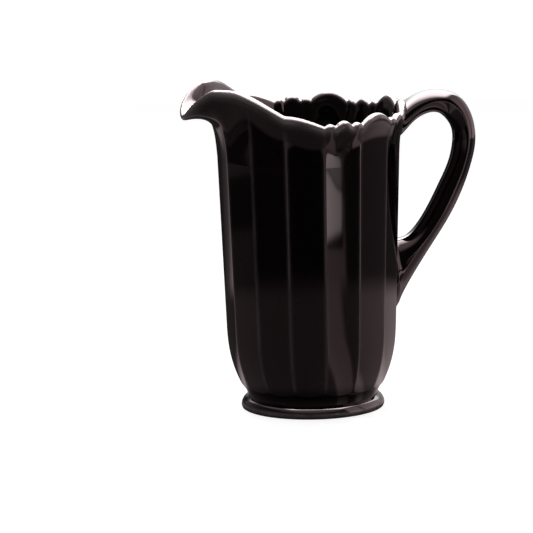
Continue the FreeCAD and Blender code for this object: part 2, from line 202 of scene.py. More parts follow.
glazeLook = {
    "deep": (0.0026, 0.0016, 0.0018),      # where the glaze lies thick
    "thin": (0.24, 0.205, 0.21),           # pale on ridges and the rim: partly glaze run thin, partly painted highlight
    "speck": (0.030, 0.023, 0.021),
    "bare": (0.36, 0.27, 0.20),            # unglazed ring under the foot
    "bareBelow": 0.00035,                  # metres over the table
    "bareEdgePerMetre": 300.0,             # unevenness of that ring's edge
    "bareRoughness": 0.6,
    "roughness": 0.055,
    "roughnessChange": 0.035,
    "smoothest": 0.02,
    "waviness": 0.000020,                  # metres
    "wavesPerMetre": 42.0,
    "grain": 0.0000006,
    "grainPerMetre": 900.0,
    "cloudsPerMetre": 55.0,                # unevenness of the pale places of thin glaze and painted highlight
    "cloudRange": (1.3, 0.25),
    "specksPerMetre": 260.0,
    "speckSize": 0.09,
    "speckRarity": 0.60,
    "speckFieldsPerMetre": 130.0,
    "patchesPerMetre": 24.0,               # changes of the gloss
    "refraction": 1.58,
    "mirrorTint": (1.0, 0.83, 0.855),
}

# the group's inputs and the values that they take
glazeColours = (("Deep Colour", "deep"), ("Thin And Highlight Colour", "thin"), ("Speck Colour", "speck"))
glazeAmounts = (("Roughness", "roughness"), ("Roughness Change", "roughnessChange"),
                ("Waves Per Metre", "wavesPerMetre"), ("Waviness", "waviness"),
                ("Grain Per Metre", "grainPerMetre"), ("Grain", "grain"))


def glazeGroup(look):
    tree = bpy.data.node_groups.new("runGlaze", "ShaderNodeTree")
    inputs = [(label, "Color") for label, key in glazeColours] + [("Thin And Highlight Mask", "Float")] \
        + [(label, "Float") for label, key in glazeAmounts]
    outputs = [("Colour", "Color"), ("Roughness", "Float"), ("Normal", "Vector")]
    for direction, sockets in (("INPUT", inputs), ("OUTPUT", outputs)):
        for label, kind in sockets:
            tree.interface.new_socket(name=label, in_out=direction, socket_type="NodeSocket" + kind)
    given = addNode(tree, "NodeGroupInput").outputs
    place = addNode(tree, "ShaderNodeTexCoord").outputs["Object"]
    # the pale colour comes in by the mask: partly glaze run thin, partly painted highlight
    gain, rest = look["cloudRange"]
    breakUp = noiseAt(tree, place, look["cloudsPerMetre"], 3.0) * gain + rest
    share = breakUp.by("MULTIPLY", given["Thin And Highlight Mask"], clamp=True)
    base = mixColours(tree, share, given["Deep Colour"], given["Thin And Highlight Colour"])
    cells = addNode(tree, "ShaderNodeTexVoronoi", {"Vector": place, "Scale": look["specksPerMetre"]})
    dot = nodeMath(tree, "LESS_THAN", cells.outputs["Distance"], look["speckSize"])
    specks = dot * (noiseAt(tree, place, look["speckFieldsPerMetre"], 1.0) > look["speckRarity"])
    patches = noiseAt(tree, place, look["patchesPerMetre"], 4.0, 0.6) - 0.5
    rough = patches * given["Roughness Change"] + given["Roughness"]
    height = noiseAt(tree, place, given["Waves Per Metre"], 1.5, 0.4) * given["Waviness"] \
        + noiseAt(tree, place, given["Grain Per Metre"], 1.0) * given["Grain"]
    bump = addNode(tree, "ShaderNodeBump", {"Strength": 1.0, "Distance": 1.0, "Height": height})
    addNode(tree, "NodeGroupOutput", {
        "Colour": mixColours(tree, specks, base, given["Speck Colour"]),
        "Roughness": atLeast(look["smoothest"], rough), "Normal": bump.outputs["Normal"]})
    return tree


def glazeMaterial(name, group, look, bareBelow=None):
    material = bpy.data.materials.new(name)
    material.use_nodes = True
    tree = material.node_tree
    coat = tree.nodes.new("ShaderNodeGroup")
    coat.node_tree = group
    fillIn(tree, coat, {label: look[key] for label, key in glazeColours + glazeAmounts})
    fillIn(tree, coat, {"Thin And Highlight Mask": attributeAt(tree, "glazeThinAndHighlight")})
    colour, roughness = coat.outputs["Colour"], coat.outputs["Roughness"]
    if bareBelow is not None:
        place = addNode(tree, "ShaderNodeTexCoord").outputs["Object"]
        apart = addNode(tree, "ShaderNodeSeparateXYZ", {"Vector": place})
        edge = noiseAt(tree, place, look["bareEdgePerMetre"], 2.0) * bareBelow + bareBelow * 0.5
        bare = nodeMath(tree, "LESS_THAN", apart.outputs["Z"], edge)
        colour = mixColours(tree, bare, colour, look["bare"])
        roughness = bare * look["bareRoughness"] + roughness
    fillIn(tree, tree.nodes["Principled BSDF"], {
        "Base Color": colour, "Roughness": roughness, "Normal": coat.outputs["Normal"],
        "IOR": look["refraction"], "Specular Tint": look["mirrorTint"]})
    return material


runGlaze = glazeGroup(glazeLook)
jugGlaze = glazeMaterial("jugGlaze", runGlaze, glazeLook)
footGlaze = glazeMaterial("footGlaze", runGlaze, glazeLook, glazeLook["bareBelow"])
print("glaze ready")


# The form that body, collar, spout and handle share, in metres

jugForm = {
    "panels": 15,
    "bowRatio": 4.0,             # radius of a panel's bow, in ridge radii
    "ridgeRounding": 0.0050,
    "neckRadius": 0.0452,
    "neckHeight": 0.0088,
    "heelRadius": 0.0496,        # ridge radius where the panels start
    "heelHeight": 0.0172,
    "coveSag": 0.0009,
    "waistRadius": 0.0594,
    "waistHeight": 0.060,
    "tuckSharpness": 2.5,
    "shoulderRadius": 0.0635,
    "shoulderHeight": 0.178,
    "belowShare": 0.7,
    "wall": 0.0052,
}

halfPanel = halfTurn / jugForm["panels"]


def addDerived(form):
    # the wall's slope and tuck, and the round of the cove
    wallRise = form["shoulderHeight"] - form["waistHeight"]
    slope = (form["shoulderRadius"] - form["waistRadius"]) / wallRise
    coveRise, coveRun = form["heelHeight"] - form["neckHeight"], form["heelRadius"] - form["neckRadius"]
    chord, sag = math.hypot(coveRise, coveRun), form["coveSag"]
    coveRadius = (chord ** 2 / 4 + sag ** 2) / (2 * sag)
    fromChord = (coveRadius - sag) / chord
    form.update(
        wallSlope=slope,
        tuck=form["waistRadius"] - slope * (form["waistHeight"] - form["heelHeight"]) - form["heelRadius"],
        belowSlope=form["belowShare"] * coveRun / coveRise,
        coveRadius=coveRadius,
        coveOut=(form["neckRadius"] + form["heelRadius"]) / 2 + fromChord * coveRise,
        coveHigh=(form["neckHeight"] + form["heelHeight"]) / 2 - fromChord * coveRun)


addDerived(jugForm)


def ridgeRadius(height, form=jugForm):
    above = atLeast(form["heelHeight"], height)
    left = atLeast(0, (form["waistHeight"] - above) / (form["waistHeight"] - form["heelHeight"]))
    widening = form["waistRadius"] + form["wallSlope"] * (above - form["waistHeight"])
    return widening - form["tuck"] * left ** form["tuckSharpness"] - form["belowSlope"] * (above - height)


def panelRadius(ridge, turn, form=jugForm):
    # distance of the panelled outline from the axis, at a turn from the middle of its panel
    half, rounding, bow = halfTurn / form["panels"], form["ridgeRounding"], form["bowRatio"] * ridge
    sine, cosine = np.sin(half), np.cos(half)
    setBack = np.sqrt(bow ** 2 - (ridge * sine) ** 2) - ridge * cosine
    centre = np.sqrt((bow - rounding) ** 2 - (setBack * sine) ** 2) - setBack * cosine
    gain = bow / (bow - rounding)
    touch = np.arctan2(centre * sine * gain, (centre * cosine + setBack) * gain - setBack)
    turn = abs(turn)
    onPanel = np.sqrt(bow ** 2 - (setBack * np.sin(turn)) ** 2) - setBack * np.cos(turn)
    fromRidge = half - turn
    inside = atLeast(0, rounding ** 2 - (centre * np.sin(fromRidge)) ** 2)
    onRidge = centre * np.cos(fromRidge) + np.sqrt(inside)
    return onPanel + (turn > touch) * (onRidge - onPanel)


def coveAt(height, form=jugForm):
    over = height - form["coveHigh"]
    inside = atLeast(0, form["coveRadius"] ** 2 - over ** 2)
    return form["coveOut"] - np.sqrt(inside) + 10 * atLeast(0, over - form["coveRadius"])


def innerRadius(height):
    return ridgeRadius(height) * math.cos(halfPanel) - jugForm["wall"]


# Body: one panel's strip, from the middle of the underside round the wall to the middle of the floor

bodyLook = {
    "columns": 32,               # across one panel, closer together at its ridges
    "coveRows": 14,
    "wallRows": 84,
    "innerRows": 26,
    "cornerRows": 12,
    "floorRows": 3,
    "coveCrowding": 1.6,         # powers that bring rows closer together at a bend
    "wallCrowding": 1.8,
    "softHeel": 0.0007,          # softness of the panels' lower edges
    "floorHeight": 0.0158,
    "cornerRadius": 0.0120,
    # sizes of the shared form that the nodes don't take
    "unneeded": ("neckRadius", "coveSag", "shoulderRadius", "belowShare"),
    "sealed": 0.000004,          # distance under which the panels' edges are joined
    "sharpFrom": 40.0,           # degrees
    "nearOutside": 0.4,          # share of the wall's thickness from which a point counts as outside
    # pale lines along the ridges: partly glaze run thin, partly painted highlight
    "thinAndHighlightFade": 0.006,
    "thinAndHighlightWidth": 0.022,          # radians to each side of a ridge
    "thinAndHighlightShare": 0.14,
}


def bodyTree(look, material):
    form = jugForm
    tree = bpy.data.node_groups.new("panelledBody", "GeometryNodeTree")
    tree.interface.new_socket(name="Geometry", in_out="OUTPUT", socket_type="NodeSocketGeometry")
    # height of a scallop where the cove meets the wall, found by halving
    low, high = form["neckHeight"], form["heelHeight"]
    for step in range(40):
        middle = (low + high) / 2
        if panelRadius(ridgeRadius(middle), 0.0) > coveAt(middle):
            low = middle
        else:
            high = middle
    dip = 1 - float(panelRadius(form["heelRadius"], 0.0)) / form["heelRadius"]
    sizes = {key: value for key, value in form.items() if key not in look["unneeded"]}
    sizes["scallopGain"] = (form["heelHeight"] - low) / dip
    sizes.update((key, look[key]) for key in ("softHeel", "floorHeight", "cornerRadius"))
    keys = {}
    for key, value in sizes.items():
        label = "".join(" " + letter if letter.isupper() else letter for letter in key).title()
        kind = "NodeSocketInt" if key == "panels" else "NodeSocketFloat"
        socket = tree.interface.new_socket(name=label, in_out="INPUT", socket_type=kind)
        socket.default_value = value
        keys[key] = (socket.identifier, value)
    inputs = tree.nodes.new("NodeGroupInput").outputs
    given = {key: Reading(tree, socket) for key, socket in zip(sizes, inputs)}
    rows = [1, look["coveRows"], look["wallRows"], 1, look["innerRows"], look["cornerRows"],
            look["floorRows"]]
    starts = [sum(rows[:i]) for i in range(len(rows))]
    grid = addNode(tree, "GeometryNodeMeshGrid", {
        "Vertices X": look["columns"] + 1, "Vertices Y": sum(rows) + 1})
    spot = addNode(tree, "GeometryNodeInputPosition").outputs[0]
    apart = addNode(tree, "ShaderNodeSeparateXYZ", {0: spot})
    side = Reading(tree, apart.outputs["X"]) * 2.0
    half = halfTurn / given["panels"]
    turn = half * (side * 1.5 - abs(side) ** 3 * (side.by("SIGN") * 0.5))
    row = (Reading(tree, apart.outputs["Y"]) + 0.5) * float(sum(rows))
    start, cove, wall, cross, down, bend, flat = [
        (row - float(first)).by("DIVIDE", float(span), clamp=True) for first, span in zip(starts, rows)]
    heel, corner = given["heelHeight"], given["cornerRadius"]
    fallBack = 1.0 - panelRadius(given["heelRadius"], turn, given) / given["heelRadius"]
    scallop = heel - given["scallopGain"] * fallBack
    neck, shoulder = given["neckHeight"], given["shoulderHeight"]
    height = neck + (scallop - neck) * (1.0 - (1.0 - cove) ** look["coveCrowding"])
    height = height + (shoulder - scallop) * wall ** look["wallCrowding"]
    height = height - (shoulder - (given["floorHeight"] + corner)) * down
    ridge = ridgeRadius(height, given)
    outside = panelRadius(ridge, turn, given).by("SMOOTH_MIN", coveAt(height, given), given["softHeel"])
    quarter = bend * (halfTurn / 2)
    inside = ridge * np.cos(half) - given["wall"] - corner * (1.0 - np.cos(quarter))
    radius = (outside + cross * (inside - outside)) * start * (1.0 - flat)
    place = addNode(tree, "ShaderNodeCombineXYZ", {
        "X": radius * np.cos(turn), "Y": radius * np.sin(turn), "Z": height - corner * np.sin(quarter)})
    strip = addNode(tree, "GeometryNodeSetPosition", {
        "Geometry": grid.outputs["Mesh"], "Position": place.outputs[0]})
    spots = addNode(tree, "GeometryNodeMeshLine", {"Count": given["panels"], "Offset": (0, 0, 0)})
    index = Reading(tree, addNode(tree, "GeometryNodeInputIndex").outputs[0])
    angle = addNode(tree, "ShaderNodeCombineXYZ", {"Z": half * (index * 2.0 + 1.0)})
    turned = addNode(tree, "FunctionNodeEulerToRotation", {0: angle.outputs[0]})
    ring = addNode(tree, "GeometryNodeInstanceOnPoints", {
        "Points": spots.outputs["Mesh"], "Instance": strip.outputs["Geometry"],
        "Rotation": turned.outputs[0]})
    real = addNode(tree, "GeometryNodeRealizeInstances", {"Geometry": ring.outputs["Instances"]})
    merged = addNode(tree, "GeometryNodeMergeByDistance", {
        "Geometry": real.outputs["Geometry"], "Distance": look["sealed"]})
    paint = addNode(tree, "GeometryNodeSetMaterial", {
        "Geometry": merged.outputs["Geometry"], "Material": material})
    addNode(tree, "NodeGroupOutput", {0: paint.outputs["Geometry"]})
    return tree, keys


def ridgeThinAndHighlight(fromRidge):
    # a painted highlight line down each ridge, partly glaze run thin
    return bodyLook["thinAndHighlightShare"] * np.exp(-(fromRidge / bodyLook["thinAndHighlightWidth"]) ** 2)


def makeBody():
    tree, keys = bodyTree(bodyLook, jugGlaze)
    piece = bpy.data.objects.new("panelledBody", bpy.data.meshes.new("panelledBodySeed"))
    scene.collection.objects.link(piece)
    modifier = piece.modifiers.new("panels", "NODES")
    modifier.node_group = tree
    for identifier, value in keys.values():
        modifier[identifier] = value
    ready = piece.evaluated_get(bpy.context.evaluated_depsgraph_get())
    mesh = bpy.data.meshes.new_from_object(ready)
    piece.modifiers.clear()
    piece.data = mesh
    mesh.name = "panelledBody"
    mesh.shade_smooth()
    mesh.set_sharp_from_angle(angle=math.radians(bodyLook["sharpFrom"]))
    spots = np.empty(len(mesh.vertices) * 3)
    mesh.vertices.foreach_get("co", spots)
    spots = spots.reshape(-1, 3)
    around = np.arctan2(spots[:, 1], spots[:, 0]) % (2 * halfPanel) - halfPanel
    fromRidge = halfPanel - np.abs(around)
    least = innerRadius(spots[:, 2]) + bodyLook["nearOutside"] * jugForm["wall"]
    isOutside = np.hypot(spots[:, 0], spots[:, 1]) > least
    # pale ridge lines on the outer wall only: painted highlight, partly thin glaze
    onWall = smooth((spots[:, 2] - jugForm["heelHeight"]) / bodyLook["thinAndHighlightFade"]) * isOutside
    addMask(mesh, ridgeThinAndHighlight(fromRidge) * onWall)
    print("panelledBody made:", len(mesh.polygons), "faces")
    return piece


body = makeBody()


# Collar and spout: one skin over the whole rim, then parted at the spout's sides

rimLook = {
    "columns": 48,               # on each panel
    "rowsOnSpan": 4,
    "collarHeight": 0.0288,      # from the seam to the rim's notches
    "rimRadius": 0.0650,
    # at the spout's tip and on the rest of the rim
    "lipRadius": (0.0019, 0.0033),
    "lean": (-8.8, 76.0),
    "footShare": (0.98, 0.65),
    "lipShare": (0.44, 0.40),
    "tipHalfAngle": 17.2,
    "largeLobe": 0.0064,
    "middleLobe": 0.0036,
    "smallLobe": 0.0018,
    "plainLobe": 0.0034,
    "notchGroove": 0.0008,
    "handleSideLift": 0.0020,
    "handleSideAngle": 20.0,
    "trioSag": 0.0013,
    "spoutReach": 0.0235,
    "spoutHalfAngle": 13.8,
    "spoutSharpness": 3.1,
    "tipLift": 0.0042,
    "earLift": 0.0233,
    "earInner": 16.6,
    "earPeak": 23.4,
    "earOuter": 83.5,
    "seamPanels": 1.5,
    "notchSoftness": 0.75,       # degrees over which a notch is rounded
    # places in that softness, and the weight of each
    "notchMean": ((-1, 0.15), (-0.5, 0.22), (0, 0.26), (0.5, 0.22), (1, 0.15)),
    "poleShares": (0.0, 0.14, 0.3, 0.46, 0.62, 0.77, 0.9),    # of the way from the seam to the lip
    "outsideUpTo": (0.42, 0.1),  # share of the way round that is outside, and its softness
    "ridgesUpTo": (0.34, 0.25),
    "paleOutside": 0.0042,       # how far down from the rim the pale band reaches: painted highlight under the lip, partly glaze run thin
    "paleInside": 0.0020,
}


def lobeWave(turn):
    look = rimLook
    panelsOut = np.abs(turn) / (2 * halfPanel)
    panel = np.floor(panelsOut + 1e-9)
    place = (panelsOut - panel) * 2 - 1
    notch = 4 / 9
    crest = 1 - place ** 2
    side = (np.abs(place) - notch) / (1 - notch) * 2 - 1
    inMiddle = np.abs(place) <= notch
    trioCrest = np.where(inMiddle, 1 - (place / notch) ** 2, 1 - side ** 2)
    trio = np.where(inMiddle, look["middleLobe"], look["smallLobe"]) * trioCrest
    trio = trio - np.where(panel == 1, look["trioSag"] * crest, 0)
    isLarge, isTrio, isPlain = (panel == 0) | (panel == 2), (panel == 1) | (panel == 3), panel == 4
    large, plain = look["largeLobe"] * crest, look["plainLobe"] * crest
    wave = np.select([isLarge, isTrio, isPlain], [large, trio, plain], 0)
    top = np.select([isLarge, isTrio, isPlain], [crest, trioCrest, np.where(place > 0, 1, crest)], 1)
    return wave, top


def softWave(turn):
    # the lobes, their notches rounded by a short running mean
    wave, top = 0, 0
    for offset, weight in rimLook["notchMean"]:
        nearby = turn + offset * math.radians(rimLook["notchSoftness"])
        nearby = (nearby + halfTurn) % (2 * halfTurn) - halfTurn
        partWave, partTop = lobeWave(nearby)
        wave, top = wave + weight * partWave, top + weight * partTop
    return wave, top


def collarPoles(turn):
    # poles of the radial profile at each turn from the handle: up the outside, over the lip, down the inside
    look, form = rimLook, jugForm
    fromSpout = 180 - np.abs(np.degrees(turn))
    reach = 1 / (1 + (np.maximum(fromSpout, 0) / look["spoutHalfAngle"]) ** look["spoutSharpness"])
    wave, top = softWave(turn)
    upright = smooth(fromSpout / look["tipHalfAngle"])
    lip, lean, footHandle, lipHandle = (
        tip + (rest - tip) * upright
        for tip, rest in (look[key] for key in ("lipRadius", "lean", "footShare", "lipShare")))
    lip = lip - look["notchGroove"] * (1 - top)
    gone = np.clip((fromSpout - look["earPeak"]) / (look["earOuter"] - look["earPeak"]), 0, 1)
    rising = look["tipLift"] + (look["earLift"] - look["tipLift"]) * smooth(fromSpout / look["earInner"])
    falling = look["earLift"] * np.cos(gone * halfTurn / 2) ** 2
    lift = np.where(fromSpout < look["earPeak"], rising, falling)
    lift = lift + wave + look["handleSideLift"] * np.exp(-(np.degrees(turn) / look["handleSideAngle"]) ** 2)
    lean = np.radians(lean)
    out = look["rimRadius"] + look["spoutReach"] * reach
    high = form["shoulderHeight"] + look["collarHeight"] + lift - lip
    halfWall = form["wall"] / 2
    footOut = form["shoulderRadius"] - halfWall
    rise = high - form["shoulderHeight"]
    footHandle = rise * footHandle
    lipHandle = lipHandle * np.hypot(out - footOut, rise)
    run = np.array([
        (footOut + 0 * out, form["shoulderHeight"] + 0 * out),
        (footOut + form["wallSlope"] * footHandle, form["shoulderHeight"] + footHandle),
        (out - lipHandle * np.cos(lean), high - lipHandle * np.sin(lean)), (out, high)])
    fromRidge = turn % (2 * halfPanel) - halfPanel
    outside, inside = [], []
    for share in look["poleShares"]:
        left = 1 - share
        weights = (left ** 3, 3 * left ** 2 * share, 3 * left * share ** 2, share ** 3)
        radius, height = np.tensordot(weights, run, 1)
        slopes = (left ** 2, 2 * left * share, share ** 2)
        alongOut, alongUp = np.tensordot(slopes, np.diff(run, axis=0), 1)
        size = np.hypot(alongOut, alongUp)
        normalOut, normalUp = alongUp / size, -alongOut / size
        half = halfWall + (lip - halfWall) * smooth(share) ** 3
        face = radius + half * normalOut
        strength = 1 - smooth(share / 0.8)
        tilt = half * normalUp * smooth(share / 0.3)
        outside.append((face + strength * (panelRadius(face, fromRidge) - face), height + tilt))
        innerFoot = innerRadius(form["shoulderHeight"]) - (footOut - halfWall)
        inside.append((radius - half * normalOut + innerFoot * (1 - smooth(share / 0.6)), height - tilt))
    capGain = 6 / (4 + 2 * math.cos(halfTurn / 4))
    cap = []
    for step in range(5):
        swing = lean - halfTurn / 2 + step * halfTurn / 4
        cap.append((out + capGain * lip * np.cos(swing), high + capGain * lip * np.sin(swing)))
    return np.array(outside + cap + inside[::-1])       # poles, out and up, turns


def clampedWeights(poles, places):
    # weights of a clamped cubic B-spline's poles, one row for each place along it
    knots = np.concatenate([[0] * 3, np.arange(poles - 2), [poles - 3] * 3]).astype(float)
    places = np.clip(places, 0, poles - 3 - 1e-9)[:, None]
    weights = ((knots[:-1] <= places) & (places < knots[1:])).astype(float)
    for degree in range(1, 4):
        count = len(knots) - degree - 1
        before = knots[degree:degree + count] - knots[:count]
        ends = knots[degree + 1:][:count]
        after = ends - knots[1:1 + count]
        rising = np.where(before > 0, (places - knots[:count]) / np.where(before > 0, before, 1), 0)
        falling = np.where(after > 0, (ends - places) / np.where(after > 0, after, 1), 0)
        weights = rising * weights[:, :count] + falling * weights[:, 1:count + 1]
    return weights


def rimSkin():
    side = np.arange(rimLook["columns"]) / rimLook["columns"] * 2 - 1
    bunched = 1.5 * side - 0.5 * side ** 3
    turns = np.concatenate([(2 * panel + 1 + bunched) * halfPanel for panel in range(jugForm["panels"])])
    poles = collarPoles((turns + halfTurn) % (2 * halfTurn) - halfTurn)
    places = np.linspace(0, len(poles) - 3, (len(poles) - 3) * rimLook["rowsOnSpan"] + 1)
    weights = clampedWeights(len(poles), places)
    outUp = np.einsum("rp,pct->rct", weights, poles)     # rows, out and up, turns
    points = np.stack([outUp[:, 0] * np.cos(turns), outUp[:, 0] * np.sin(turns), outUp[:, 1]], axis=-1)
    along = np.gradient(points, axis=0)
    wrapped = np.concatenate([points[:, -1:], points, points[:, :1]], axis=1)
    spread = np.concatenate([[turns[-1] - 2 * halfTurn], turns, [turns[0] + 2 * halfTurn]])
    before, after = np.diff(spread)[:-1, None], np.diff(spread)[1:, None]
    stepBack = (wrapped[:, 1:-1] - wrapped[:, :-2]) / before
    stepOn = (wrapped[:, 2:] - wrapped[:, 1:-1]) / after
    across = (stepBack * after + stepOn * before) / (before + after)
    normals = unit(np.cross(across, along))
    climb = places / places[-1]
    fromRidge = halfPanel - np.abs(turns % (2 * halfPanel) - halfPanel)
    onOutside, onRidges = (
        smooth((upTo - climb) / softness)[:, None]
        for upTo, softness in (rimLook["outsideUpTo"], rimLook["ridgesUpTo"]))
    # pale ridge lines and a pale band down from the rim's crest: painted highlight, partly glaze run thin
    thin = ridgeThinAndHighlight(fromRidge)[None, :] * onRidges
    crest = points[:, :, 2].max(axis=0)
    below = np.maximum(crest[None, :] - points[:, :, 2], 0)
    fade = np.where(climb[:, None] < 0.5, rimLook["paleOutside"], rimLook["paleInside"])
    thin = np.maximum(thin * onOutside, np.exp(-(below / fade) ** 2))
    return points, normals, thin


def closeEnd(whole, wholeNormals, faces, edge, following, order):
    # a flat end with its own points, which faces away from the row of points that follows the edge
    total = sum(len(part) for part in whole)
    whole.append(edge)
    wholeNormals.append(np.tile(unit((edge - following).mean(axis=0)), (len(edge), 1)))
    faces.append(tuple(total + i for i in range(len(edge)))[::order])


def makeSkin(name, whole, wholeNormals, faces, thin):
    # the closed skin as a piece, with the pale mask of thin glaze and painted highlight on its first points
    # only
    points = np.concatenate(whole)
    thinAndHighlightAll = np.concatenate([thin.reshape(-1), np.zeros(len(points) - thin.size)])
    return makePiece(name, points, faces, np.concatenate(wholeNormals), thinAndHighlightAll, jugGlaze)


def rimSegment(name, columns):
    # the skin's chosen columns, closed by a flat foot and by flat ends
    points, normals, thin = (part[:, columns] for part in rimSkinParts)
    rows, across = points.shape[:2]
    whole = [points.reshape(-1, 3)]
    wholeNormals = [normals.reshape(-1, 3)]
    faces = gridFaces(across, rows, False)
    total = rows * across
    foot = np.concatenate([points[0], points[-1]])
    whole.append(foot)
    wholeNormals.append(np.tile([0.0, 0.0, -1.0], (len(foot), 1)))
    for column in range(across - 1):
        near, far = total + column, total + across + column
        faces.append((near, far, far + 1, near + 1))
    for column, following, order in ((0, 1, 1), (-1, -2, -1)):
        closeEnd(whole, wholeNormals, faces, points[:, column], points[:, following], order)
    return makeSkin(name, whole, wholeNormals, faces, thin)


rimSkinParts = rimSkin()
allColumns = rimLook["columns"] * jugForm["panels"]
seamColumns = int(rimLook["seamPanels"] * rimLook["columns"])
spoutMiddle = allColumns // 2
firstSeam, secondSeam = spoutMiddle - seamColumns, spoutMiddle + seamColumns
spout = rimSegment("pouringSpout", np.arange(firstSeam, secondSeam + 1))
collar = rimSegment("scallopedCollar", np.arange(secondSeam, firstSeam + allColumns + 1) % allColumns)


# Handle: a bevelled section swept through its stations

handleLook = {
    "rows": 190,
    "crowding": 0.35,            # how far the rows crowd towards both roots
    "sideSteps": 7,
    "halfFlat": 0.0070,
    "halfWidth": 0.0105,
    "innerHalfFlat": 0.0040,
    "crownRise": 0.0020,         # how far the outer face is crowned over its edges
    "edgeDrop": 0.0007,
    "innerSwell": 0.0020,
    # rounding, steps on it and the share of pale glaze, thin glaze with painted highlight: crown, outer edge,
    # side ridge, inner edge
    "corners": ((0.0180, 10, 0.0), (0.0045, 8, 0.0), (0.0014, 6, 0.495), (0.0050, 8, 0.0)),
    # how far each side swells, from the crown round to it
    "bows": (0.03, 0.32, 0.30, 0.0, 0.30, 0.32, 0.03),
    "rootFlare": 0.0010,
    "rootFillet": 0.0014,        # extra flare right at the wall
    "filletReach": 0.0018,
    "reach": 0.1202,
    "crest": 0.2177,
    "footHeight": 0.0640,
    "rootBite": 0.0024,
    "upperRoot": (0.109, 0.201),    # outer and inner drop of the upper root, and inner of the lower
    "lowerRoot": 0.690,
    # outer distance, outer drop, inner distance, inner drop, as shares of the reach and of the drop
    "places": (
        (0.611, 0.036, 0.575, 0.169), (0.693, 0.007, 0.641, 0.121), (0.776, 0.000, 0.740, 0.087),
        (0.856, 0.011, 0.807, 0.098), (0.935, 0.056, 0.861, 0.140), (0.984, 0.132, 0.887, 0.182),
        (1.000, 0.214, 0.893, 0.228), (0.979, 0.321, 0.872, 0.318), (0.910, 0.467, 0.803, 0.437),
        (0.806, 0.613, 0.702, 0.577), (0.7098, 0.721, 0.6078, 0.661), (0.6057, 0.841, 0.5359, 0.682)),
}


def sectionPoints(corners, forms, look):
    # rounded corners and slightly swelling sides between them, each point with its way along the outline
    count = len(corners)
    sides = [unit(corners[(i + 1) % count] - corners[i]) for i in range(count)]
    middle = corners.mean(axis=0)
    plane = unit(np.cross(sides[0], sides[1]))
    outs = []
    for i in range(count):
        out = np.cross(sides[i], plane)
        outs.append(out if np.dot(out, corners[i] - middle) > 0 else -out)
    arcs = []
    for i in range(count):
        rounding, steps, mask = forms[i]
        first, second = outs[i - 1], outs[i]
        opening = math.acos(np.clip(np.dot(first, second), -1, 1))
        centre = corners[i] - unit(first + second) * rounding / math.cos(opening / 2)
        before, after = look["bows"][i - 1], look["bows"][i]
        first = math.cos(before) * first + math.sin(before) * sides[i - 1]
        second = math.cos(after) * second - math.sin(after) * sides[i]
        opening = math.acos(np.clip(np.dot(first, second), -1, 1))
        arc = []
        for step in range(steps + 1):
            share = step / steps
            swing = math.sin((1 - share) * opening) * first + math.sin(share * opening) * second
            swing = swing / math.sin(opening)
            arc.append((centre + rounding * swing, np.cross(plane, swing), mask * math.sin(share * halfTurn)))
        arcs.append(arc)
    points, ways, thin = [], [], []
    for i in range(count):
        for point, way, mask in arcs[i]:
            points.append(point)
            ways.append(way)
            thin.append(mask)
        (start, startWay, _), (end, endWay, _) = arcs[i][-1], arcs[(i + 1) % count][0]
        chord = math.copysign(np.linalg.norm(end - start), np.dot(startWay, end - start))
        for step in range(1, look["sideSteps"]):
            t = step / look["sideSteps"]
            points.append((2 * t ** 3 - 3 * t * t + 1) * start + (3 * t * t - 2 * t ** 3) * end
                          + chord * (t * (1 - t) ** 2 * startWay - t * t * (1 - t) * endWay))
            ways.append(unit((6 * t * t - 6 * t) * (start - end) / chord
                             + (1 - t) * (1 - 3 * t) * startWay + t * (3 * t - 2) * endWay))
            thin.append(0.0)
    return np.array(points), np.array(ways), np.array(thin)


